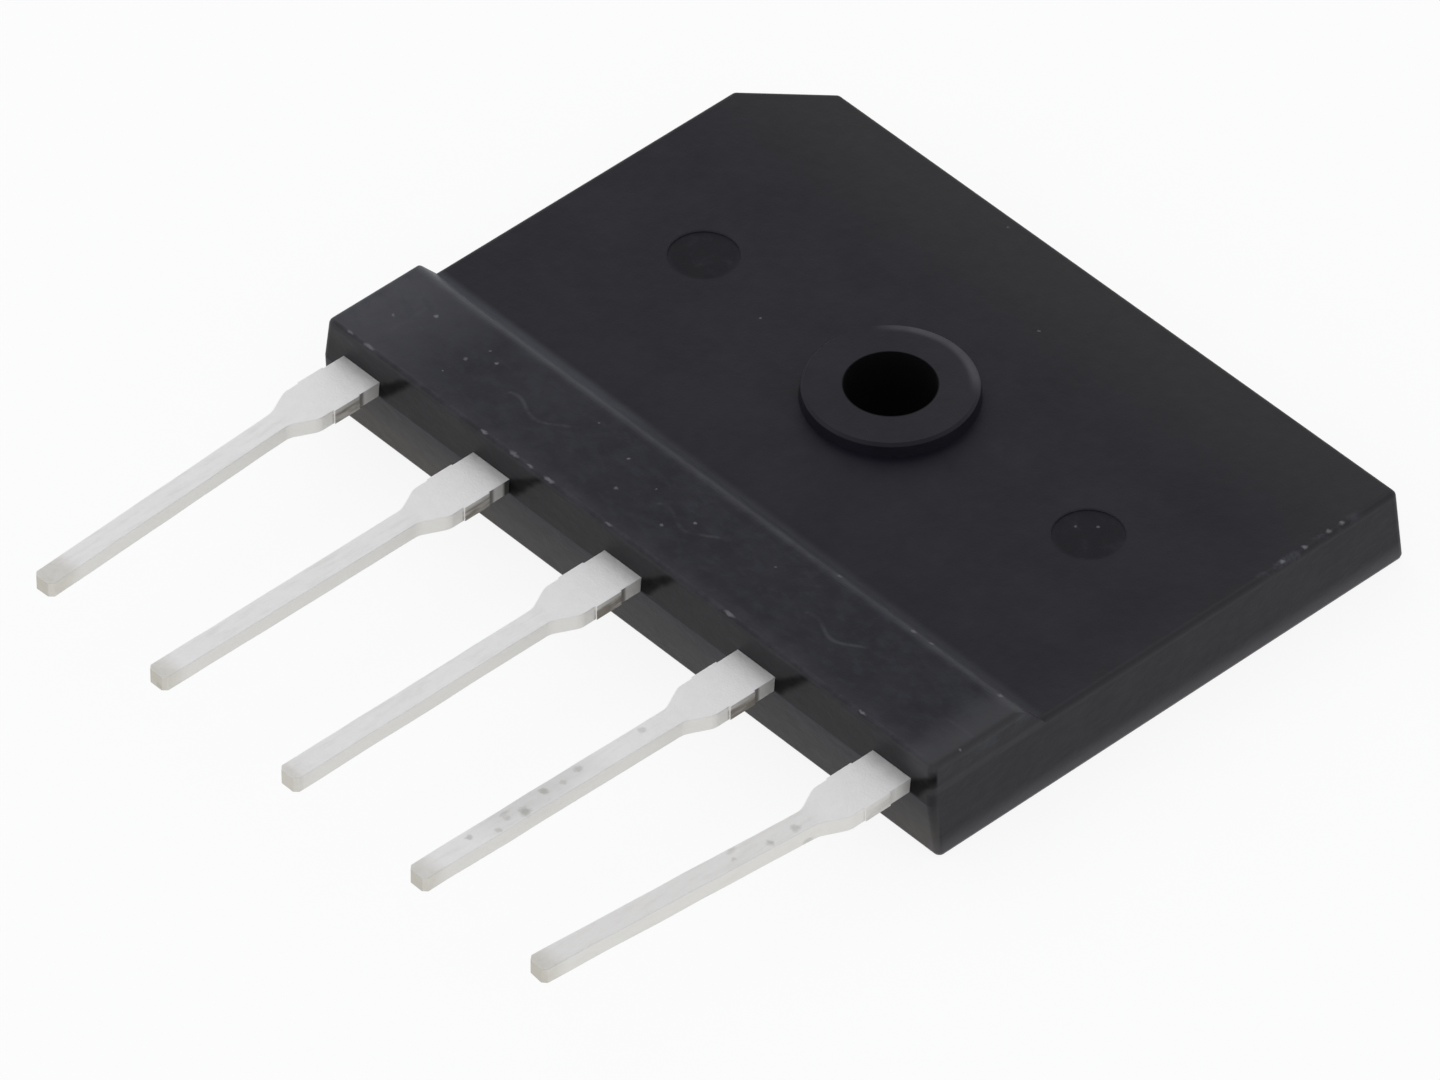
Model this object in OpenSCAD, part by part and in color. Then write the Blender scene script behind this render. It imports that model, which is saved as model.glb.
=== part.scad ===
// Three-phase bridge rectifier: moulded screw-hole body with five leads in line.
// Sizes in millimetres. The block lies on its heat-sink face at z = 0, the leads point
// towards -Y and the screw hole stands on the origin.

/* [Body] */
// width of the moulding along the row of leads, over the heat-sink face
body_w = 35; // [34.6:0.1:36]
// depth of the moulding from its lead-side parting line to the far edge of the heat-sink face
body_d = 25; // [24.6:0.1:26]
// thickness of the raised strip over the lead roots
strip_t = 4.55; // [4.4:0.05:5]
// thickness of the plate behind the strip
plate_t = 3.45; // [3.4:0.05:3.8]
// depth of the flat top of the strip
strip_d = 4.9; // [4.4:0.05:5.6]
// horizontal run of the sloped riser between plate and strip
riser_run = 0.95; // [0.7:0.05:1.4]
// rounding of the crest where the strip top meets the riser
crest_r = 0.9; // [0.2:0.05:1.2]
// leg of the cut corner that marks the plus end
corner_cut = 2.85; // [2:0.05:3.6]
// rounding of the upright corners
corner_r = 0.3; // [0.28:0.02:0.6]
// rounding of the top and bottom edges
edge_r = 0.2; // [0.08:0.02:0.24]
// height of the parting line on the lead side over the heat-sink face
parting_h = 2.7; // [2.6:0.05:2.9]
// draft of the lead-side wall above the parting line, degrees
upper_draft = 5; // [2:0.5:7]
// draft of the lead-side wall below the parting line, degrees
lower_draft = 5.5; // [1:0.5:7]
// draft of the two flanks, from the heat-sink face up, degrees
flank_draft = 4; // [1:0.5:5]
// draft of the far wall and the cut corner, from the heat-sink face up, degrees
rear_draft = 4.5; // [1:0.5:6]

/* [Screw hole and ejector marks] */
// bore for the fixing screw
hole_d = 3.7; // [3.2:0.1:4]
// distance from the lead-side wall to the axis of the hole
hole_y = 14.1; // [14:0.1:14.8]
// outer diameter of the raised ring round the hole, at its top
ring_d = 7; // [6.6:0.1:8]
// height of the ring over the plate
ring_h = 0.6; // [0.3:0.05:0.8]
// draft of the ring wall, degrees
ring_draft = 8; // [3:1:15]
// bevel along the top rim of the ring
ring_bevel = 0.12; // [0.05:0.01:0.2]
// diameter of the two ejector marks
mark_d = 2.9; // [2:0.1:3.4]
// depth of the ejector marks
mark_depth = 0.08; // [0.05:0.01:0.25]
// draft of the ejector mark walls, degrees
mark_draft = 8; // [2:1:15]
// distance of each ejector mark from the middle line
mark_x = 10.9; // [10:0.1:12]
// distance of the ejector marks from the lead-side wall
mark_y = 14.3; // [13:0.1:16]

/* [Leads] */
// distance from each flank of the body to the centre of the outer lead
lead_inset = 2.45; // [2.3:0.05:2.6]
// thickness of the lead frame
lead_t = 0.7; // [0.6:0.05:0.8]
// width of a lead where it leaves the body
root_w = 2.1; // [1.8:0.1:2.3]
// length of the wide part outside the body
root_l = 3.05; // [2.5:0.05:3.2]
// length of the taper from the wide to the narrow part
neck_l = 1.1; // [0.8:0.1:1.6]
// width of the narrow part
lead_w = 1; // [0.9:0.05:1.2]
// length of a lead from the body to its tip
lead_l = 17.1; // [10:0.1:18]
// how much shorter the plus lead is cropped
plus_trim = 0.2; // [0:0.05:0.5]
// bevel of the cropped tip
tip_cut = 0.18; // [0.1:0.02:0.3]
// distance from the body to the cropped dam bar
dam_y = 1; // [0.8:0.05:1.2]
// length of the cropped dam bar along the lead
dam_l = 1.3; // [1:0.05:1.4]
// how far the cropped dam bar stands out from each edge of the lead
dam_out = 0.06; // [0.04:0.01:0.12]
// sideways lean of the plus lead beyond its neck, degrees
plus_lean = 3; // [-3:0.5:6]
// sideways lean of the last alternating lead beyond its neck, degrees
ac_3_lean = -1; // [-3:0.5:3]
// sideways lean of the minus lead beyond its neck, degrees
minus_lean = -5; // [-6:0.5:3]

/* [Pads, dies and clips inside the body] */
// distance from the lead-side wall to the bend of the leads
bend_y = 1; // [0.8:0.1:1.2]
// insulating compound under the pads
base_t = 0.8; // [0.6:0.05:0.9]
// compound left outside the pads on the two flanks
flank_wall = 1.1; // [1:0.05:1.3]
// compound left outside the plus pad on the far side
rear_wall = 1.6; // [1.2:0.1:2]
// compound left round the screw hole
hole_wall = 1.3; // [1:0.05:1.4]
// gap between neighbouring pads
pad_gap = 0.8; // [0.6:0.05:1]
// pad left in front of and beside a die
die_edge = 0.6; // [0.5:0.05:0.7]
// distance between a die and the foot of the clip on the same pad
foot_gap = 0.7; // [0.5:0.05:0.8]
// pad left behind the foot of a clip
foot_edge = 1; // [0.7:0.1:1.2]
// compound locking holes in the plus pad
lock_d = 1.2; // [0.8:0.1:1.6]
// side of a square diode die
die_w = 4; // [3.4:0.1:4.2]
// bare edge of a die round the soldered contact
contact_edge = 0.6; // [0.5:0.05:0.7]
// thickness of a diode die
die_t = 0.28; // [0.22:0.02:0.34]
// width of the glassed ledge round the top of a die
ledge_w = 0.3; // [0.2:0.05:0.4]
// how far the ledge lies under the top of the die
ledge_t = 0.11; // [0.06:0.01:0.14]
// thickness of each solder layer
solder_t = 0.06; // [0.04:0.01:0.1]
// how far each solder layer stays back from the edge of the piece above it
solder_edge = 0.1; // [0.06:0.01:0.14]
// thickness of the copper clips
clip_t = 0.5; // [0.4:0.05:0.6]
// width of the copper clips
clip_w = 2.4; // [2:0.1:2.6]
// length of a clip foot on its pad
foot_l = 1.2; // [1:0.05:1.4]

/* [Hidden] */
$fn = 48;

// colours
compound_c = [0.13, 0.13, 0.14];
tin_c = [0.78, 0.78, 0.77];
silicon_c = [0.35, 0.36, 0.42];
copper_c = [0.72, 0.45, 0.31];
solder_c = [0.62, 0.63, 0.65];

// lead centres along the row, from the cut corner
lead_pitch = (body_w / 2 - lead_inset) / 2;
lead_x = [for (i = [-2:2]) i * lead_pitch];

// heights of the stack, from the heat-sink face up
lead_z = parting_h;
pad_top = base_t + lead_t;
die_z = pad_top + solder_t;
clip_z = die_z + die_t + solder_t;
foot_z = pad_top + solder_t;
minus_pad_top = clip_z - solder_t;

// plan of the pads, measured from the lead-side wall
pad_front = bend_y + lead_z - base_t;
die_minus_y = pad_front + die_edge + die_w / 2;
foot_y = die_minus_y + die_w / 2 + foot_gap;
pad_rear = foot_y + foot_l + foot_edge;
plus_front = pad_rear + pad_gap;
die_plus_y = plus_front + die_edge + die_w / 2;
plus_rear = body_d - rear_wall;
pad_out = body_w / 2 - flank_wall;
keep_r = hole_d / 2 + hole_wall;
wing = pad_out - keep_r;
plus_arm = 1.5 * lead_pitch + pad_gap / 2;
lock_x = 0.62 * pad_out;
pad_cut = max(pad_gap, corner_cut + (sqrt(2) - 1) * flank_wall - rear_wall);

// plan of the dies and clips: two dies on the plus pad beside the screw hole at the cut
// corner's end, one at the other end
die_plus_x = [-pad_out + 0.275 * wing, -keep_r - 0.225 * wing, keep_r + 0.5 * wing];
clip_foot_x = [
    lead_x[1] - 0.18 * lead_pitch,
    lead_x[2] - 0.21 * lead_pitch,
    lead_x[3] + 0.11 * lead_pitch
];
contact_w = die_w - 2 * contact_edge;
bus_x = [lead_x[1] - contact_w / 2, pad_out - pad_gap / 2];

// how deep the cuts for neighbouring embedded pieces run into each other, so that the
// compound closes round the whole stack without a film between them
seat = solder_t / 3;

// how far cutting shapes run past what they cut, and the thickness of the discs in a hull
over = 1;
skin = 0.005;

// puts a shape measured from the lead-side wall onto the axis of the screw hole
module place() {
    translate([0, -hole_y, 0]) children();
}

// a profile in the YZ plane, drawn out along X over the whole width
module along_x(width) {
    translate([-width / 2, 0, 0]) rotate([90, 0, 90]) linear_extrude(height = width) children();
}

// ---- moulded body ----

// centres of the corner discs for an outline that is drawn in by "front" on the lead side,
// by "side" on the flanks and by "rear" on the far side and the cut corner
function corners(front, side, rear) =
    let (
        x = body_w / 2 - side - corner_r,
        y = body_d - rear - corner_r,
        // how far the cut corner's line runs from the two walls' crossing, for the disc centres
        cut = corner_cut + (sqrt(2) - 1) * rear - (2 - sqrt(2)) * corner_r
    )
    [[-x, corner_r + front], [x, corner_r + front], [x, y], [cut - x, y], [-x, y - cut]];

// one level of the moulding: height and how much the edge rounding takes off there
module level(z, shrink) {
    above = max(0, z - parting_h) * tan(upper_draft);
    below = max(0, parting_h - z) * tan(lower_draft);
    for (c = corners(above + below, z * tan(flank_draft), z * tan(rear_draft))) {
        translate([c[0], c[1], z]) cylinder(h = skin, r = corner_r - shrink, $fn = 32);
    }
}

// drafted block of the full outline with rounded corners and edges, up to the given thickness
module drafted_block(thickness) {
    top = thickness - skin;
    hull() {
        for (a = [0:45:90]) {
            level(edge_r * (1 - sin(a)), edge_r * (1 - cos(a)));
        }
        level(parting_h, 0);
        for (a = [0:22.5:90]) {
            level(top - edge_r * (1 - sin(a)), edge_r * (1 - cos(a)));
        }
    }
}

// side view of the strip with the rounded crest and the sloped riser
module strip_profile() {
    slope = atan((strip_t - plate_t) / riser_run);
    crest_y = strip_d - crest_r * tan(slope / 2);
    steps = 6;
    foot_run = (plate_t - parting_h) / tan(slope);
    crest = [
        for (i = [0:steps])
            let (a = slope * i / steps)
            [crest_y + crest_r * sin(a), strip_t - crest_r + crest_r * cos(a)]
    ];
    polygon(concat(
        [[-over, parting_h - over], [-over, strip_t + over], [crest_y, strip_t + over]],
        crest,
        [[strip_d + riser_run + foot_run, parting_h],
         [strip_d + riser_run + foot_run, parting_h - over]]
    ));
}

// raised ring round the screw hole
module ring() {
    rim = ring_d / 2 - ring_bevel;
    rise = plate_t + ring_h - parting_h;
    foot = ring_d / 2 + rise * tan(ring_draft);
    translate([0, hole_y, parting_h])
        rotate_extrude($fn = 96)
            polygon([[0, 0], [foot, 0], [ring_d / 2, rise - ring_bevel], [rim, rise], [0, rise]]);
}

module screw_bore() {
    translate([0, hole_y, -over]) cylinder(h = strip_t + 2 * over, d = hole_d, $fn = 96);
}

module ejector_marks() {
    for (s = [-1, 1]) {
        translate([s * mark_x, mark_y, plate_t - mark_depth])
            cylinder(h = over, d1 = mark_d, d2 = mark_d + 2 * over * tan(mark_draft));
    }
}

module molded_body() {
    color(compound_c) place() {
        difference() {
            union() {
                drafted_block(plate_t);
                intersection() {
                    drafted_block(strip_t);
                    along_x(body_w + 2 * over) strip_profile();
                }
                ring();
            }
            screw_bore();
            ejector_marks();
            embedded_parts();
        }
    }
}

// everything the compound flows round
module embedded_parts() {
    plus_frame();
    for (i = [1:3]) {
        ac_frame(i);
    }
    minus_frame();
    for (i = [0:2]) {
        die(die_plus_x[i], die_plus_y);
        die(lead_x[i + 1], die_minus_y);
        under_die(die_plus_x[i], die_plus_y, seat);
        under_die(lead_x[i + 1], die_minus_y, seat);
        over_plus_die(i, seat);
        over_minus_die(i, seat);
        ac_clip(i);
        ac_foot_solder(i, seat);
    }
    bus_clip();
    bus_foot_solder(seat);
}

// ---- leads, each one stamping with its pad ----

// side view of a lead: flat outside, bent down to its pad inside
module lead_profile(pad_z) {
    bend = lead_t * tan(22.5);
    low_y = bend_y + lead_z - pad_z;
    polygon([
        [-lead_l - over, lead_z], [bend_y - bend, lead_z], [low_y - bend, pad_z],
        [body_d, pad_z], [body_d, pad_z + lead_t], [low_y, pad_z + lead_t],
        [bend_y, lead_z + lead_t], [-lead_l - over, lead_z + lead_t]
    ]);
}

// a point of the narrow part: across and along the lead, turned about the neck by the lean
function turned(lean, across, along) = [
    across * cos(lean) - along * sin(lean),
    across * sin(lean) + along * cos(lean) - root_l - neck_l
];

// plan of a lead from its pad to its tip: wide part with the cropped dam bar, neck, narrow part
module lead_plan(x, lean, trim) {
    reach = lead_l - trim - root_l - neck_l;
    root = root_w / 2;
    dam = root + dam_out;
    half = lead_w / 2;
    translate([x, 0])
        polygon([
            [-root, pad_front + die_edge], [-root, -dam_y], [-dam, -dam_y],
            [-dam, -dam_y - dam_l], [-root, -dam_y - dam_l], [-root, -root_l],
            [-half, -root_l - neck_l],
            turned(lean, -half, tip_cut - reach), turned(lean, tip_cut - half, -reach),
            turned(lean, half - tip_cut, -reach), turned(lean, half, tip_cut - reach),
            [half, -root_l - neck_l],
            [root, -root_l], [root, -dam_y - dam_l], [dam, -dam_y - dam_l],
            [dam, -dam_y], [root, -dam_y], [root, pad_front + die_edge]
        ]);
}

// a lead and its pad cut from one strip; the child is the plan of the pad
module frame(x, pad_z, lean = 0, trim = 0) {
    intersection() {
        linear_extrude(height = strip_t) {
            lead_plan(x, lean, trim);
            children();
        }
        along_x(2 * body_w) lead_profile(pad_z);
    }
}

module ac_frame(i) {
    frame(lead_x[i], base_t, i == 3 ? ac_3_lean : 0)
        translate([lead_x[i] - (lead_pitch - pad_gap) / 2, pad_front])
            square([lead_pitch - pad_gap, pad_rear - pad_front]);
}

// common pad for three dies; it clears the screw hole and follows the cut corner
module plus_pad() {
    difference() {
        polygon([
            [-pad_out, pad_front], [-plus_arm, pad_front], [-plus_arm, plus_front],
            [pad_out, plus_front], [pad_out, plus_rear],
            [-pad_out + pad_cut, plus_rear], [-pad_out, plus_rear - pad_cut]
        ]);
        translate([0, hole_y]) circle(r = keep_r);
        translate([-keep_r, plus_front - over]) square([2 * keep_r, hole_y - plus_front + over]);
        for (s = [-1, 1]) {
            translate([s * lock_x, plus_rear - 2 * lock_d]) circle(d = lock_d);
        }
    }
}

module plus_frame() {
    frame(lead_x[0], base_t, plus_lean, plus_trim) plus_pad();
}

module minus_frame() {
    frame(lead_x[4], minus_pad_top - lead_t, minus_lean)
        translate([plus_arm, pad_front])
            square([pad_out - plus_arm, die_minus_y + clip_w / 2 + die_edge - pad_front]);
}

module lead_plus() {
    color(tin_c) place() plus_frame();
}

module lead_ac_1() {
    color(tin_c) place() ac_frame(1);
}

module lead_ac_2() {
    color(tin_c) place() ac_frame(2);
}

module lead_ac_3() {
    color(tin_c) place() ac_frame(3);
}

module lead_minus() {
    color(tin_c) place() minus_frame();
}

// ---- diode dies: cathode down, with a lower glassed ledge round the anode ----

module block_at(x, y, z, w, d, h) {
    translate([x - w / 2, y - d / 2, z]) cube([w, d, h]);
}

module die(x, y) {
    mesa_w = die_w - 2 * ledge_w;
    block_at(x, y, die_z, die_w, die_w, die_t - ledge_t);
    block_at(x, y, die_z, mesa_w, mesa_w, die_t);
}

module die_plus_1() {
    color(silicon_c) place() die(die_plus_x[0], die_plus_y);
}

module die_plus_2() {
    color(silicon_c) place() die(die_plus_x[1], die_plus_y);
}

module die_plus_3() {
    color(silicon_c) place() die(die_plus_x[2], die_plus_y);
}

module die_minus_1() {
    color(silicon_c) place() die(lead_x[1], die_minus_y);
}

module die_minus_2() {
    color(silicon_c) place() die(lead_x[2], die_minus_y);
}

module die_minus_3() {
    color(silicon_c) place() die(lead_x[3], die_minus_y);
}

// ---- copper clips ----

// side view of a clip that steps up from its foot on the pad to the top of a die
module clip_profile() {
    rise = clip_z - foot_z;
    step_y = foot_y + foot_l;
    bend = clip_t * tan(22.5);
    polygon([
        [foot_y - over, foot_z], [step_y, foot_z], [step_y + rise, clip_z],
        [body_d, clip_z], [body_d, clip_z + clip_t], [step_y + rise - bend, clip_z + clip_t],
        [step_y - bend, foot_z + clip_t], [foot_y - over, foot_z + clip_t]
    ]);
}

module ac_clip(i) {
    intersection() {
        linear_extrude(height = strip_t) {
            translate([clip_foot_x[i] - clip_w / 2, foot_y]) square([clip_w, pad_rear - foot_y]);
            hull() {
                translate([clip_foot_x[i] - clip_w / 2, pad_rear - foot_edge / 2])
                    square([clip_w, foot_edge / 2]);
                translate([die_plus_x[i] - contact_w / 2, die_plus_y - contact_w / 2])
                    square(contact_w);
            }
        }
        along_x(body_w) clip_profile();
    }
}

module bus_clip() {
    translate([bus_x[0], die_minus_y - clip_w / 2, clip_z])
        cube([bus_x[1] - bus_x[0], clip_w, clip_t]);
}

module clip_ac_1() {
    color(copper_c) place() ac_clip(0);
}

module clip_ac_2() {
    color(copper_c) place() ac_clip(1);
}

module clip_ac_3() {
    color(copper_c) place() ac_clip(2);
}

module clip_minus() {
    color(copper_c) place() bus_clip();
}

// ---- solder joints; "into" lets the cut for one run into the pieces above and below ----

module layer(x, y, z, w, d, into) {
    block_at(x, y, z - into, w - 2 * solder_edge, d - 2 * solder_edge, solder_t + 2 * into);
}

module under_die(x, y, into = 0) {
    layer(x, y, pad_top, die_w, die_w, into);
}

module over_plus_die(i, into = 0) {
    layer(die_plus_x[i], die_plus_y, clip_z - solder_t, contact_w, contact_w, into);
}

module over_minus_die(i, into = 0) {
    layer(lead_x[i + 1], die_minus_y, clip_z - solder_t, contact_w, clip_w, into);
}

module ac_foot_solder(i, into = 0) {
    layer(clip_foot_x[i], foot_y + foot_l / 2, pad_top, clip_w, foot_l, into);
}

module bus_foot_solder(into = 0) {
    left = plus_arm + pad_gap / 2;
    layer((left + bus_x[1]) / 2, die_minus_y, minus_pad_top, bus_x[1] - left, clip_w, into);
}

module solder_under_plus_1() {
    color(solder_c) place() under_die(die_plus_x[0], die_plus_y);
}

module solder_under_plus_2() {
    color(solder_c) place() under_die(die_plus_x[1], die_plus_y);
}

module solder_under_plus_3() {
    color(solder_c) place() under_die(die_plus_x[2], die_plus_y);
}

module solder_under_minus_1() {
    color(solder_c) place() under_die(lead_x[1], die_minus_y);
}

module solder_under_minus_2() {
    color(solder_c) place() under_die(lead_x[2], die_minus_y);
}

module solder_under_minus_3() {
    color(solder_c) place() under_die(lead_x[3], die_minus_y);
}

module solder_over_plus_1() {
    color(solder_c) place() over_plus_die(0);
}

module solder_over_plus_2() {
    color(solder_c) place() over_plus_die(1);
}

module solder_over_plus_3() {
    color(solder_c) place() over_plus_die(2);
}

module solder_over_minus_1() {
    color(solder_c) place() over_minus_die(0);
}

module solder_over_minus_2() {
    color(solder_c) place() over_minus_die(1);
}

module solder_over_minus_3() {
    color(solder_c) place() over_minus_die(2);
}

module solder_foot_1() {
    color(solder_c) place() ac_foot_solder(0);
}

module solder_foot_2() {
    color(solder_c) place() ac_foot_solder(1);
}

module solder_foot_3() {
    color(solder_c) place() ac_foot_solder(2);
}

module solder_foot_minus() {
    color(solder_c) place() bus_foot_solder();
}

molded_body();
lead_plus();
lead_ac_1();
lead_ac_2();
lead_ac_3();
lead_minus();
die_plus_1();
die_plus_2();
die_plus_3();
die_minus_1();
die_minus_2();
die_minus_3();
clip_ac_1();
clip_ac_2();
clip_ac_3();
clip_minus();
solder_under_plus_1();
solder_under_plus_2();
solder_under_plus_3();
solder_under_minus_1();
solder_under_minus_2();
solder_under_minus_3();
solder_over_plus_1();
solder_over_plus_2();
solder_over_plus_3();
solder_over_minus_1();
solder_over_minus_2();
solder_over_minus_3();
solder_foot_1();
solder_foot_2();
solder_foot_3();
solder_foot_minus();
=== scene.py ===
import bmesh
import bpy
import math
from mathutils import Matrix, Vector, noise


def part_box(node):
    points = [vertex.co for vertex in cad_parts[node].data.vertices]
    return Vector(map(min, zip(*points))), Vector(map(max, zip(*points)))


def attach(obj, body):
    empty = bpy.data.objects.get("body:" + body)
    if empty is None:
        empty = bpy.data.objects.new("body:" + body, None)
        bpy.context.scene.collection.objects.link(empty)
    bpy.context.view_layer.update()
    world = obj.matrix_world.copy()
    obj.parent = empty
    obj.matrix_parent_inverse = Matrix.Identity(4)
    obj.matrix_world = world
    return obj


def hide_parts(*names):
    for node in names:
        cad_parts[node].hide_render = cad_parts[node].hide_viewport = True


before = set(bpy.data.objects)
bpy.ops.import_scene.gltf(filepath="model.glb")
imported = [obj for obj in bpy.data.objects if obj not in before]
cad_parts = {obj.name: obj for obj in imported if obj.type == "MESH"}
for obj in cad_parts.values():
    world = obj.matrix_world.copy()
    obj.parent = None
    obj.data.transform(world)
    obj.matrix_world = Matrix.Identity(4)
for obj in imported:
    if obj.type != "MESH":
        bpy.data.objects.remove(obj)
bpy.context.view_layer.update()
mm = 0.001


# Bench: a white sheet that the rectifier lies on, an even white room round it, two soft lamps,
# and a long-lens camera that looks down on the leads from the minus end.


class Value:
    """One socket of a finish. Sums, products and comparisons of it add Math nodes."""

    def __init__(self, finish, socket):
        self.finish = finish
        self.socket = socket

    def other(self, name):
        """Another output of the node that this value comes from."""
        return Value(self.finish, self.socket.node.outputs[name])

    def math(self, operation, a, b=0.0):
        return self.finish.node("ShaderNodeMath", {"operation": operation}, {0: a, 1: b})

    def __add__(self, other):
        return self.math("ADD", self, other)

    __radd__ = __add__

    def __sub__(self, other):
        return self.math("SUBTRACT", self, other)

    def __rsub__(self, other):
        return self.math("SUBTRACT", other, self)

    def __mul__(self, other):
        return self.math("MULTIPLY", self, other)

    __rmul__ = __mul__

    def __abs__(self):
        return self.math("ABSOLUTE", self)

    def most(self, other):
        return self.math("MAXIMUM", self, other)

    def wave(self):
        return self.math("SINE", self)

    def rise(self, low, high):
        """0 below low, 1 above high and a soft step between them. It falls where low > high."""
        if low > high:
            return 1 - self.rise(high, low)
        return self.finish.node(
            "ShaderNodeMapRange",
            {"interpolation_type": "SMOOTHSTEP"},
            {"Value": self, "From Min": low, "From Max": high},
        )

    def within(self, low, high, soft):
        """1 between low and high, with a soft step round each of them."""
        return self.rise(low - soft, low + soft) * self.rise(high + soft, high - soft)


def strongest(masks):
    """The highest of several masks."""
    shown = masks[0]
    for mask in masks[1:]:
        shown = shown.most(mask)
    return shown


class Finish:
    """A material or world whose nodes are added one by one."""

    def __init__(self, name, owner=None):
        self.owner = owner or bpy.data.materials.new(name)
        self.owner.use_nodes = True
        self.tree = self.owner.node_tree
        self.tree.nodes.clear()

    def node(self, kind, settings=None, inputs=None, output=0):
        """A node of that kind, with its settings made first and its inputs set or linked."""
        made = self.tree.nodes.new(kind)
        for name, value in (settings or {}).items():
            setattr(made, name, value)
        for name, value in (inputs or {}).items():
            if isinstance(value, Value):
                self.tree.links.new(value.socket, made.inputs[name])
            elif value is not None and made.inputs[name].enabled:
                made.inputs[name].default_value = value
        return Value(self, made.outputs[output])

    def vector(self, operation, a, b=None, output=0):
        return self.node("ShaderNodeVectorMath", {"operation": operation}, {0: a, 1: b}, output)

    def stretch(self, point, x, y, z):
        """The point scaled along its three axes, for streaks."""
        return self.vector("MULTIPLY", point, (x, y, z))

    def place(self):
        """The point on the piece in millimetres."""
        point = self.node("ShaderNodeTexCoord", output="Object")
        return self.stretch(point, 1 / mm, 1 / mm, 1 / mm)

    def axes(self, point):
        """The three coordinates of a point."""
        x = self.node("ShaderNodeSeparateXYZ", inputs={0: point})
        return x, x.other("Y"), x.other("Z")

    def noise(self, point, scale, detail=3.0, roughness=0.55, output=0):
        inputs = {"Vector": point, "Scale": scale, "Detail": detail, "Roughness": roughness}
        return self.node("ShaderNodeTexNoise", inputs=inputs, output=output)

    def ragged(self, point, scale, reach):
        """The point pushed to and fro within that reach, for spots with ragged outlines."""
        push = self.noise(point, scale, 2.0, 0.5, "Color")
        push = self.vector("SUBTRACT", push, (0.5, 0.5, 0.5))
        return self.vector("ADD", point, self.stretch(push, reach, reach, reach))

    def specks(self, point, cells, size, share):
        """Small round spots in some of the cells of a grid of that many cells a millimetre."""
        spot = self.node("ShaderNodeTexVoronoi", inputs={"Vector": point, "Scale": cells})
        tint = self.node("ShaderNodeSeparateColor", inputs={0: spot.other("Color")})
        return spot.rise(size * 1.3, size * 0.5) * tint.rise(1 - share, 1 - share * 0.8)

    def dots(self, point, spots):
        """Round spots, each with a place, a radius and a strength."""
        masks = []
        for spot, radius, strength in spots:
            away = self.vector("DISTANCE", point, spot, "Value")
            masks.append(away.rise(radius * 1.4, radius * 0.4) * strength)
        return strongest(masks)

    def blend(self, share, a, b):
        """Colour a where share is 0 and colour b where it is 1."""
        return self.node("ShaderNodeMix", {"data_type": "RGBA"}, {0: share, 6: a, 7: b}, 2)

    def coats(self, colour, *coats):
        """The colour with coats laid over it in turn, each with its share and its own colour."""
        for share, coat in coats:
            colour = self.blend(share, colour, coat)
        return colour

    def bump(self, height, depth, strength, under=None):
        """Relief of that depth in metres, on top of the relief under it."""
        inputs = {"Height": height, "Distance": depth, "Strength": strength, "Normal": under}
        return self.node("ShaderNodeBump", inputs=inputs)

    def shader(self, inputs):
        return self.node("ShaderNodeBsdfPrincipled", inputs=inputs)

    def show(self, shader):
        """Makes that shader the surface of the material or the world."""
        kind = "World" if isinstance(self.owner, bpy.types.World) else "Material"
        out = self.tree.nodes.new("ShaderNodeOutput" + kind)
        self.tree.links.new(shader.socket, out.inputs["Surface"])

    def show_between(self, share, a, b):
        """Shows shader a where share is 0 and shader b where it is 1."""
        self.show(self.node("ShaderNodeMixShader", inputs={0: share, 1: a, 2: b}))

    def seen(self):
        """1 for what the camera sees, also in a mirror or through a piece, and 0 for light."""
        ray = self.node("ShaderNodeLightPath", output="Is Camera Ray")
        return ray.most(ray.other("Is Glossy Ray")).most(ray.other("Is Transmission Ray"))


room = bpy.data.worlds.new("white_room")
bpy.context.scene.world = room
walls = Finish("white_room", room)
up = walls.axes(walls.node("ShaderNodeTexCoord", output="Generated"))[2]
tent = walls.blend(up.rise(0.0, 0.9), (1, 1, 1, 1), (0.55, 0.55, 0.60, 1))
shown = walls.node("ShaderNodeBackground", inputs={"Color": tent, "Strength": 1.0})
light = walls.node("ShaderNodeBackground", inputs={"Color": (0.97, 0.98, 1, 1), "Strength": 0.80})
walls.show_between(walls.seen(), light, shown)

# The sheet looks burnt out to white, but lights the piece as plain paper and stays dim in the bore.
sheet = Finish("white_sheet")
point = sheet.place()
white = sheet.blend(sheet.noise(point, 0.8, 4.0), (0.93, 0.93, 0.93, 1), (0.95, 0.95, 0.95, 1))
paper = sheet.node("ShaderNodeBsdfDiffuse", inputs={"Color": white})
bright = sheet.node("ShaderNodeEmission", inputs={"Color": (1, 1, 1, 1), "Strength": 1.0})
glare = 0.87
under_bore = sheet.dots(point, [((0, 0, 0), 2.4, 1.0)])
sheet.show_between(sheet.seen() * glare * (1 - under_bore), paper, bright)
bpy.ops.mesh.primitive_plane_add(size=4)
table = bpy.context.object
table.name = "table"
table.data.materials.append(sheet.owner)

lamps = {
    "back_softbox": ((-0.62, 0.20, 0.62), 0.60, 0.5),
    "front_softbox": ((-0.35, -0.70, 0.30), 0.40, 0.5),
}
for name, (spot, size, watts) in lamps.items():
    lamp = bpy.data.lights.new(name, "AREA")
    lamp.shape = "SQUARE"
    lamp.size = size
    lamp.energy = watts
    holder = bpy.data.objects.new(name, lamp)
    bpy.context.scene.collection.objects.link(holder)
    holder.location = spot
    holder.rotation_euler = (-Vector(spot)).to_track_quat("-Z", "Y").to_euler()

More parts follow.
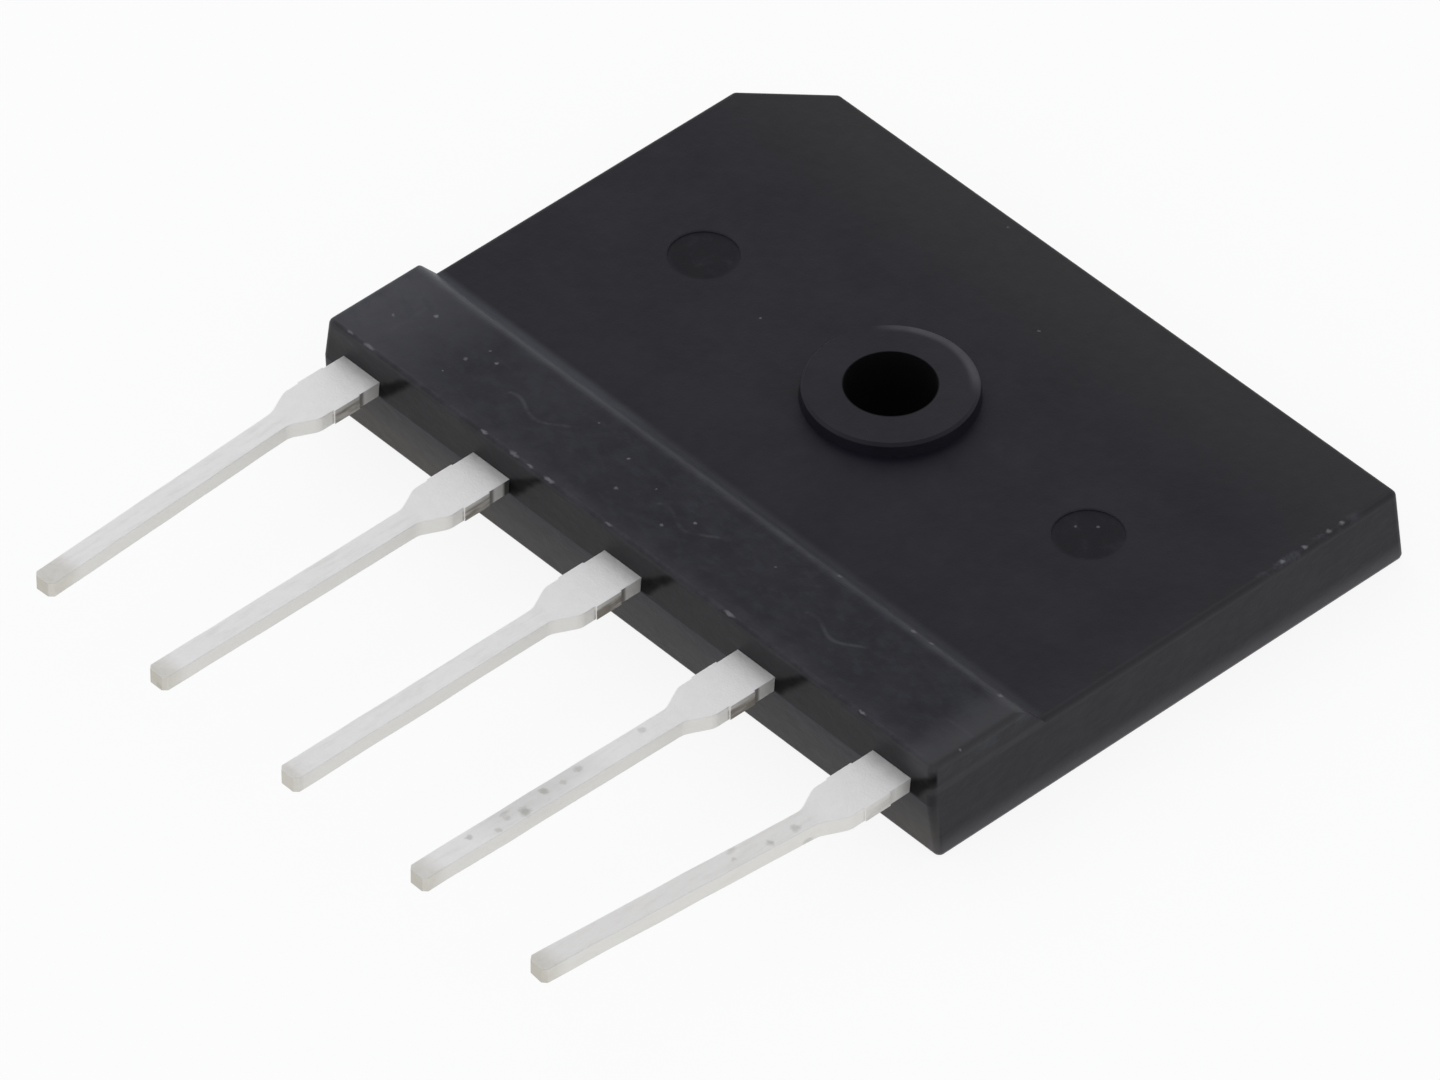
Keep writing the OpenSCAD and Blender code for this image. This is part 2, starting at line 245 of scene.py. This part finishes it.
camera = bpy.data.cameras.new("camera")
camera.lens = 375.1
camera.sensor_width = 36
camera.clip_start = 0.01
camera.clip_end = 20
tripod = bpy.data.objects.new("camera", camera)
bpy.context.scene.collection.objects.link(tripod)
tripod.location = (0.310919, -0.295824, 0.395677)
tripod.rotation_euler = (math.radians(47.0181), math.radians(-0.0336), math.radians(47.3377))
bpy.context.scene.camera = tripod
bpy.context.scene.view_settings.view_transform = "Standard"


# Moulded body: black epoxy compound, transfer moulded round the frame with a fine spark-eroded
# grain. The raised strip carries the lasered polarity signs, and handling has left haze, dust,
# rubbed rims and small chips. Light and shade are also painted into its colour: a painted shadow
# beside each lead, painted shade in the bore, painted light on the lower lead side, a painted
# reflection on the strip's plus end, and painted highlights and sheen on edges, riser, ring and far
# end.
low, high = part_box("molded_body")
half_width = high.x / mm
lead_side = low.y / mm
strip_top = high.z / mm
crest_y = lead_side + 4.9
plate_top = 3.45
parting = 2.7
ring_top = 4.05
ring_radius = 3.5
bore_radius = 1.85
mark_x = 10.9
mark_y = 0.2
lead_pitch = 7.525

compound = Finish("black_compound")
point = compound.place()
x, y, z = compound.axes(point)
fine = compound.noise(point, 14.0, 3.0, 0.6)
cloud = compound.noise(point, 0.35, 3.0)
patchy = compound.noise(compound.stretch(point, 1.0, 1.0, 2.0), 1.6, 4.0)
smudge = compound.noise(point, 0.9, 4.0, 0.65)

# The faces: strip, lead side below and above the parting line, minus-end flank, and all the rest.
on_strip = y.rise(crest_y + 0.5, crest_y - 0.2) * z.rise(plate_top - 0.05, strip_top - 0.25)
front = y.rise(lead_side + 0.42, lead_side + 0.3)
low_front = front * z.rise(parting + 0.05, parting - 0.1)
high_front = front * z.rise(parting, parting + 0.1)
strip_edge = on_strip * z.rise(strip_top - 0.25, strip_top - 0.05)
flank = x.rise(half_width - 0.62, half_width - 0.4) * (1 - strip_edge)
top = (1 - flank) * (1 - front)

# Haze and finger marks on the strip, a painted reflection on its plus end, and a painted sheen on
# the far end of the plate.
# Far end of the plate painted lighter: a painted sheen, broken up by smudges.
far_sheen_and_haze = top * (1 - on_strip) * y.rise(4.0, 11.0) * (0.6 + 0.8 * smudge)
# The strip's plus end is painted lighter: haze with a painted reflection over it.
plus_end = x.rise(-10.0, -half_width).most(x.rise(-3.0, -7.0) * 0.1)
haze_and_reflection = on_strip * plus_end * (0.35 + 0.95 * smudge)
mottling = compound.noise(compound.stretch(point, 0.8, 1.3, 1.0), 1.5, 4.0, 0.65)
handled = on_strip * mottling.rise(0.45, 0.75)
bluish = on_strip * smudge.rise(0.35, 0.7) * (0.3 + 0.7 * (x + y * 0.5).rise(8.0, 12.5))
base = compound.coats(
    compound.blend(
        cloud.rise(0.3, 0.7), (0.0035, 0.0033, 0.0080, 1), (0.0065, 0.0061, 0.0118, 1)
    ),
    (far_sheen_and_haze, (0.016, 0.0155, 0.017, 1)),
    (haze_and_reflection, (0.062, 0.062, 0.070, 1)),
    (handled * 0.45, (0.022, 0.026, 0.036, 1)),
    (bluish, (0.020, 0.023, 0.029, 1)),
)

# Lighter colours on the lead side, the foot of the flank, the riser and the minus end: painted
# light from below on the lower lead side, a painted reflection of the sheet along the foot of the
# flank, and a painted sheen on the riser.
ends = x.rise(-4.0, -12.0).most(x.rise(13.0, 17.0))
front_floor_light = compound.blend(ends, (0.040, 0.036, 0.034, 1), (0.070, 0.064, 0.056, 1))
on_riser = y.within(crest_y - 0.1, crest_y + 1.15, 0.25)
on_riser = on_riser * z.rise(plate_top - 0.15, plate_top - 0.05) * (1 - flank)
# Painted sheen on the riser, strongest towards the plus end.
riser_sheen = on_riser * (0.45 + 0.5 * x.rise(-3.0, -8.0)) * (0.75 + 0.5 * smudge)
near_rim = y.rise(lead_side + 1.2, lead_side + 0.4) * z.rise(strip_top - 0.25, strip_top - 0.1)
soft_rim = on_strip * near_rim * (0.15 + 0.35 * smudge)
minus_end = on_strip * x.rise(15.1, 16.6) * (1 - flank)
base = compound.coats(
    base,
    # Painted light from the sheet below: the lower lead side lighter towards the bottom and the
    # ends.
    (low_front * z.rise(3.2, 0.4) * 0.68, front_floor_light),
    (high_front * 0.7, (0.0050, 0.0036, 0.0042, 1)),
    (flank * 0.1, (0.024, 0.021, 0.022, 1)),
    # Painted reflection of the white sheet along the foot of the flank.
    (flank * z.rise(1.1, 0.0) * 0.85, (0.085, 0.080, 0.085, 1)),
    (riser_sheen, (0.046, 0.049, 0.060, 1)),
    (soft_rim, (0.036, 0.034, 0.042, 1)),
    (minus_end * 0.6, (0.052, 0.052, 0.057, 1)),
    (top * x.rise(14.5, 17.3) * 0.2, (0.026, 0.026, 0.027, 1)),
)

# Polarity signs: plus, three tildes and minus, lasered in a row and half worn away. A tilde is
# a sine wave of so many radians a millimetre, laid a little askew.
plus_x = -15.0
tilde_x = (-7.65, 0.9, 9.2)
minus_x = 16.0
pen = 0.07
wave_step = 2.09
wave_height = 0.3
wave_slope = 0.12


def bar(across, along):
    """A straight stroke two millimetres long, fainter than the tildes."""
    return abs(across).rise(pen + 0.05, pen - 0.04) * abs(along).rise(1.0, 0.9) * 0.4


across = y - (lead_side + 2.5)
strokes = []
for centre in tilde_x:
    along = x - centre
    sway = ((along + 0.5) * wave_step).wave() * -wave_height + along * wave_slope
    tilde = abs(across - sway).rise(pen + 0.07, pen - 0.04)
    strokes.append(tilde * along.within(-1.6, 1.5, 0.05))
strokes += [bar(across, x - plus_x), bar(x - plus_x, across), bar(across, x - minus_x)]
signs = strongest(strokes) * on_strip * (0.15 + 0.85 * smudge.rise(0.35, 0.6))

# Rims: real rubbing on the strip's lead-side edge and on the flank; painted highlights on the
# rounded turn into the flank, along the crest and on the ring's far rim; a painted sheen on the
# ring top; and painted light on the ejector marks' shaded walls.
# Painted highlight on the rounded turn from the plate and the strip into the flank.
turn_highlight = x.within(half_width - 0.48, half_width - 0.17, 0.08)
turn_highlight = turn_highlight * z.within(plate_top - 0.25, plate_top + 0.1, 0.1)
strip_turn_highlight = x.within(half_width - 0.58, half_width - 0.25, 0.08)
turn_highlight = turn_highlight.most(strip_turn_highlight * z.rise(strip_top - 0.35, strip_top - 0.2))
rim = y.within(lead_side + 0.2, lead_side + 0.42, 0.09)
rim = rim * z.rise(strip_top - 0.35, strip_top - 0.15)
rim = rim * compound.noise(point, 1.1, 4.0, 0.7).rise(0.35, 0.7)
# Painted highlight along the crest of the strip, uneven.
crest_highlight = y.within(crest_y - 0.35, crest_y + 0.45, 0.2)
crest_highlight = crest_highlight * z.rise(strip_top - 0.65, strip_top - 0.35)
crest_highlight = crest_highlight * (0.05 + 0.35 * compound.noise(point, 0.8, 4.0, 0.7).rise(0.4, 0.8))
right_rim = x.within(half_width - 0.6, half_width - 0.25, 0.08)
right_rim = right_rim * z.rise(plate_top - 0.25, plate_top - 0.1)
rubbed = right_rim * y.within(3.5, 8.5, 0.6) * smudge.rise(0.45, 0.65)
# Real rubbing on the rims, together with the painted crest highlight.
wear_and_highlight = ((rim * 0.5).most(crest_highlight) * 0.5).most(rubbed * 0.45)
from_axis = compound.vector("LENGTH", compound.stretch(point, 1, 1, 0), output="Value")
# Painted sheen on the far side of the ring top.
ring_top_sheen = from_axis.rise(ring_radius + 0.1, ring_radius - 0.1)
ring_top_sheen = ring_top_sheen * z.rise(ring_top - 0.15, ring_top - 0.05)
ring_top_sheen = ring_top_sheen * (x * 0.5 + y * 0.85).rise(0.0, 3.0)
# Painted highlight on the ring's far rim.
ring_rim_highlight = from_axis.within(ring_radius - 0.4, ring_radius, 0.14)
ring_rim_highlight = ring_rim_highlight * z.rise(ring_top - 0.35, ring_top - 0.1)
ring_rim_highlight = ring_rim_highlight * (y - x * 0.05).rise(1.7, 2.9) * (0.3 + 0.7 * smudge)
# Painted light on the ejector marks' walls, which lie in shade.
mark_wall_lift = z.within(plate_top - 0.073, plate_top - 0.007, 0.004)
mark_wall_lift = mark_wall_lift * abs(x).within(mark_x - 1.9, mark_x + 1.9, 0.2)
mark_wall_lift = mark_wall_lift * y.within(mark_y - 2.0, mark_y + 2.0, 0.2)
base = compound.coats(
    base,
    (signs * 0.32, (0.075, 0.078, 0.085, 1)),
    (turn_highlight * 0.6, (0.026, 0.025, 0.028, 1)),
    (wear_and_highlight, (0.082, 0.088, 0.10, 1)),
    (ring_top_sheen * 0.15, (0.030, 0.029, 0.032, 1)),
    (ring_rim_highlight, (0.075, 0.073, 0.082, 1)),
    (mark_wall_lift * 0.9, (0.050, 0.050, 0.058, 1)),
)

# Dust on the strip, its crest and the plate, and chips along the rims.
strip_dust = (
    (-11.5, -10.5), (-10.8, -10.8), (-11.8, -11.5), (-11.9, -12.6), (-15.6, -11.9), (-14.4, -10.7),
    (-5.6, -10.2), (-3.3, -10.7), (-2.4, -12.2), (-1.3, -11.1), (0.3, -12.3), (1.1, -11.3),
    (5.0, -10.7), (17.1, -12.4),
)
crest_dust = ((6.9, -9.1), (9.4, -8.95), (11.1, -9.2), (12.0, -9.1), (15.9, -9.2))
plate_dust = ((10.2, 0.2), (10.8, 0.8), (1.2, 6.8), (-4.0, 10.1), (0.2, 3.25), (-6.7, -0.7))
flank_chips = (4.6, 5.8, 7.1, 7.8)
rim_chips = (-16.0, -14.9, -8.2, -6.5, -5.6, -4.5, -1.1, 5.7, 13.1)
chip_stretch = 3
spots = [((x_at, y_at, strip_top), 0.05 + 0.02 * (n % 3), 0.5 + 0.2 * (n % 2))
         for n, (x_at, y_at) in enumerate(strip_dust)]
spots += [((x_at, y_at, strip_top - 0.1), 0.12, 0.6) for x_at, y_at in crest_dust]
spots += [((x_at, y_at, plate_top - 0.05), 0.07, 0.8) for x_at, y_at in plate_dust]
spots += [((half_width - 0.45, y_at, plate_top - 0.05), 0.11, 0.75) for y_at in flank_chips]
chips = [((x_at / chip_stretch, lead_side + 0.33, strip_top), 0.06 + 0.03 * (n % 2),
          0.5 + 0.1 * (n % 3)) for n, x_at in enumerate(rim_chips)]
ragged = compound.ragged(point, 6.0, 0.16)
marks = compound.dots(ragged, spots)
marks = marks.most(compound.dots(compound.stretch(ragged, 1 / chip_stretch, 1, 1), chips))
base = compound.coats(base, (marks * 0.75, (0.22, 0.22, 0.24, 1)))

# Matt dark shader: painted shade inside the bore, the matt ejector marks, and a painted shadow
# beside each lead, leaning to one side as it rises.
# Painted shade: the bore wall made matt black.
bore = from_axis.rise(bore_radius + 0.07, bore_radius)
ejectors = compound.dots(ragged, [((mark, mark_y, 3.3), 1.55, 1.0) for mark in (-mark_x, mark_x)])
ejectors = ejectors.rise(0.35, 0.7) * top * smudge.rise(0.25, 0.5)
# Painted shadow beside each lead on the upper lead side, leaning to the right as it rises.
shadow_strips = []
for count in range(-2, 3):
    beside = x - (count * lead_pitch + 1.25) - (z - 3.1) * 1.05
    shadow_strips.append((abs(beside) + (z - 3) * 0.2 + smudge * 0.5).rise(0.92, 0.5))
lead_shadow = strongest(shadow_strips) * z.within(2.72, 4.42, 0.12) * high_front * (0.55 + 0.5 * patchy)
matt_and_shade = strongest([bore * 0.94, ejectors * 0.35, lead_shadow])

grain = compound.bump(fine, 0.02 * mm, 0.35)
grain = compound.bump(patchy - marks, 0.04 * mm, 0.4, grain)
shiny = compound.shader({
    "Base Color": base,
    "Roughness": 0.44 + 0.14 * patchy + 0.1 * marks,
    "Specular IOR Level": 0.27,
    "Normal": grain,
})
matt = compound.shader({
    "Base Color": (0.004, 0.0037, 0.0042, 1),
    "Roughness": 0.9,
    "Specular IOR Level": 0.05,
    "Normal": grain,
})
compound.show_between(matt_and_shade, shiny, matt)


def dress(start, finish):
    """Gives the finish to the pieces whose names start that way."""
    for name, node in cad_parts.items():
        if name.startswith(start):
            node.data.materials.clear()
            node.data.materials.append(finish.owner)


dress("molded_body", compound)


# Leads: five stampings of one copper strip, tin plated, each with the pad it carries inside the
# body. The cropped dam bars leave bare copper on both edges, and the dull plating is soft at the
# edges, darker at the tips and spotted on the last two leads.
lead_top = 3.4
lead_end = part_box("lead_ac_2")[0].y / mm

tin = Finish("dull_tin")
point = tin.place()
x, y, z = tin.axes(point)
facing = tin.axes(tin.node("ShaderNodeTexCoord", output="Normal"))
streaks = tin.noise(tin.stretch(point, 3.0, 0.5, 3.0), 1.4, 4.0, 0.6)
mottle = tin.noise(point, 2.2, 4.0, 0.6)
fine = tin.noise(point, 11.0, 2.0)
plus_lead = x.rise(-11.0, -13.0)
middle_lead = x.within(-3.0, 3.0, 0.5)
minus_lead = x.rise(12.0, 14.0)
slender = y.rise(lead_side - 3.6, lead_side - 4.4)
tip = strongest([
    y.rise(lead_end + 1.3, lead_end + 0.2) * (1 - 0.7 * middle_lead),
    y.rise(lead_end + 2.0, lead_end + 1.0) * plus_lead,
    y.rise(lead_end + 0.6, lead_end + 0.2) * 0.8,
])
cut = abs(facing[0]).rise(0.6, 0.9)
end = abs(facing[1]).rise(0.6, 0.9) * tip
sheared = cut * y.within(lead_side - 2.35, lead_side - 0.95, 0.1) * (1 - 0.7 * minus_lead)
sheared = sheared * (1 - 0.6 * z.rise(lead_top - 0.28, lead_top - 0.12))
notch = cut * y.within(lead_side - 1.0, lead_side - 0.78, 0.08) * (1 - 0.8 * minus_lead)
gap = cut * y.rise(lead_side - 0.35, lead_side - 0.15) * x.within(-6.7, -6.2, 0.1)

# Stains and spots on the plating: across x, along y, then the radius and the strength.
stain = tin.dots(tin.stretch(point, 1.0, 0.3, 1.0), [((7.1, -7.5, lead_top), 0.85, 0.7)])
tin_spots = (
    (7.18, -28.42, 0.15, 0.7), (7.64, -27.37, 0.14, 0.5), (7.39, -26.68, 0.14, 0.5),
    (7.60, -25.94, 0.24, 0.9), (7.25, -24.68, 0.18, 0.8), (7.37, -23.82, 0.15, 0.5),
    (7.23, -22.93, 0.18, 0.6), (7.29, -19.72, 0.16, 0.5), (15.14, -19.06, 0.2, 0.6),
    (15.10, -20.30, 0.15, 0.7), (14.79, -21.90, 0.12, 0.5),
)
spotted = tin.dots(
    tin.ragged(point, 4.0, 0.3),
    [((x_at, y_at, lead_top), radius, strength) for x_at, y_at, radius, strength in tin_spots],
)
pits = tin.specks(tin.stretch(point, 1.0, 0.5, 1.0), 1.1, 0.15, 0.20) * slender
copper = tin.blend(mottle, (0.19, 0.165, 0.14, 1), (0.38, 0.35, 0.31, 1))
tone = tin.coats(
    tin.blend(mottle.rise(0.2, 0.8), (0.85, 0.845, 0.82, 1), (0.895, 0.885, 0.865, 1)),
    (cut * 0.6, (0.70, 0.69, 0.66, 1)),
    (minus_lead * 0.5 * slender, (0.80, 0.79, 0.75, 1)),
    (streaks.rise(0.45, 0.75) * 0.4 * slender, (0.72, 0.71, 0.66, 1)),
    (tip * (0.3 + 0.7 * mottle), (0.62, 0.60, 0.53, 1)),
    (end * 0.6, (0.45, 0.43, 0.37, 1)),
    (stain * (0.3 + 0.6 * mottle), (0.60, 0.59, 0.56, 1)),
    (spotted * 0.6, (0.33, 0.33, 0.28, 1)),
    (pits * 0.25, (0.34, 0.33, 0.26, 1)),
    (sheared * (0.45 + 0.55 * streaks.rise(0.3, 0.6)), copper),
    (notch * 0.7, (0.07, 0.06, 0.055, 1)),
    (gap * 0.9, (0.03, 0.03, 0.028, 1)),
)
relief = tin.bump(fine, 0.03 * mm, 0.3)
relief = tin.bump(mottle * 0.4 - pits, 0.1 * mm, 0.4, relief)
tin.show(tin.shader({
    "Base Color": tone,
    "Metallic": 0.75 - 0.3 * pits,
    "Roughness": 0.48 + 0.12 * mottle + 0.15 * sheared,
    "Normal": relief,
}))

weld = 0.002 * mm
edge_round = 0.07 * mm
neck_round = 0.18 * mm
neck_near = low.y - 2.8 * mm
neck_far = low.y - 4.6 * mm
first_slice = low.y - 3.6 * mm
slice_gap = 0.4 * mm
slices = 34
wobble = 0.02 * mm
wobble_wave = 1.6 * mm
wobble_from = low.y - 3.4 * mm
wobble_full = 1.5 * mm
wobble_seed = 1


def round_edges(stamping, edges, radius, segments, profile):
    bmesh.ops.bevel(
        stamping, geom=edges, offset=radius, segments=segments, profile=profile, affect="EDGES",
        clamp_overlap=True,
    )


noise.seed_set(wobble_seed)
for name in ("lead_plus", "lead_ac_1", "lead_ac_2", "lead_ac_3", "lead_minus"):
    stamping = bmesh.new()
    stamping.from_mesh(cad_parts[name].data)
    bmesh.ops.remove_doubles(stamping, verts=stamping.verts, dist=weld)
    bmesh.ops.dissolve_limit(
        stamping, angle_limit=math.radians(1), verts=stamping.verts, edges=stamping.edges
    )
    neck = []
    for edge in stamping.edges:
        first, last = (corner.co for corner in edge.verts)
        upright = abs(first.z - last.z) > 0.5 * mm
        if upright and neck_far < first.y < neck_near:
            neck.append(edge)
    round_edges(stamping, neck, neck_round, 5, 0.5)
    sharp = [e for e in stamping.edges if e.is_manifold and e.calc_face_angle() > 0.5]
    round_edges(stamping, sharp, edge_round, 2, 0.6)
    for count in range(slices):
        bmesh.ops.bisect_plane(
            stamping, geom=stamping.verts[:] + stamping.edges[:] + stamping.faces[:],
            plane_co=(0, first_slice - count * slice_gap, 0), plane_no=(0, 1, 0),
        )
    for corner in stamping.verts:
        reach = min(1.0, max(0.0, (wobble_from - corner.co.y) / wobble_full))
        if reach > 0:
            sway = noise.noise_vector(corner.co / wobble_wave)
            corner.co.x += sway.x * wobble * reach
            corner.co.z += sway.z * wobble * reach
    bmesh.ops.recalc_face_normals(stamping, faces=stamping.faces)
    mesh = bpy.data.meshes.new("tinned_" + name)
    stamping.to_mesh(mesh)
    stamping.free()
    mesh.materials.append(tin.owner)
    lead = bpy.data.objects.new("tinned_" + name, mesh)
    bpy.context.scene.collection.objects.link(lead)
    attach(lead, "root")
    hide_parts(name)


# Dies: six glass-passivated silicon squares, three on the plus pad and one on each alternating
# pad, sawn from a wafer and soldered flat.
silicon = Finish("silicon")
sawn = silicon.noise(silicon.stretch(silicon.place(), 0.4, 6.0, 6.0), 2.0, 3.0)
silicon.show(silicon.shader({
    "Base Color": silicon.blend(sawn, (0.10, 0.11, 0.15, 1), (0.17, 0.18, 0.23, 1)),
    "Metallic": 0.6 + 0.2 * sawn,
    "Roughness": 0.25 + 0.2 * sawn,
}))
dress("die_", silicon)


# Clips: bent copper strips that join the tops of the dies to the neighbouring pads. They are
# stamped from rolled sheet and held by solder at both ends.
clip_copper = Finish("clip_copper")
rolled = clip_copper.noise(clip_copper.stretch(clip_copper.place(), 0.3, 4.0, 4.0), 2.0, 4.0)
clip_copper.show(clip_copper.shader({
    "Base Color": clip_copper.blend(rolled, (0.60, 0.31, 0.18, 1), (0.78, 0.45, 0.29, 1)),
    "Metallic": 1.0,
    "Roughness": 0.28 + 0.2 * rolled,
}))
dress("clip_", clip_copper)


# Solder: thin layers under and over each die and under each foot of a clip. It is printed as
# paste and melted in one pass before the body is moulded.
solder = Finish("solder")
frosty = solder.noise(solder.place(), 5.0, 4.0)
solder.show(solder.shader({
    "Base Color": solder.blend(frosty, (0.45, 0.46, 0.48, 1), (0.62, 0.63, 0.65, 1)),
    "Metallic": 1.0,
    "Roughness": 0.35 + 0.25 * frosty,
}))
dress("solder_", solder)
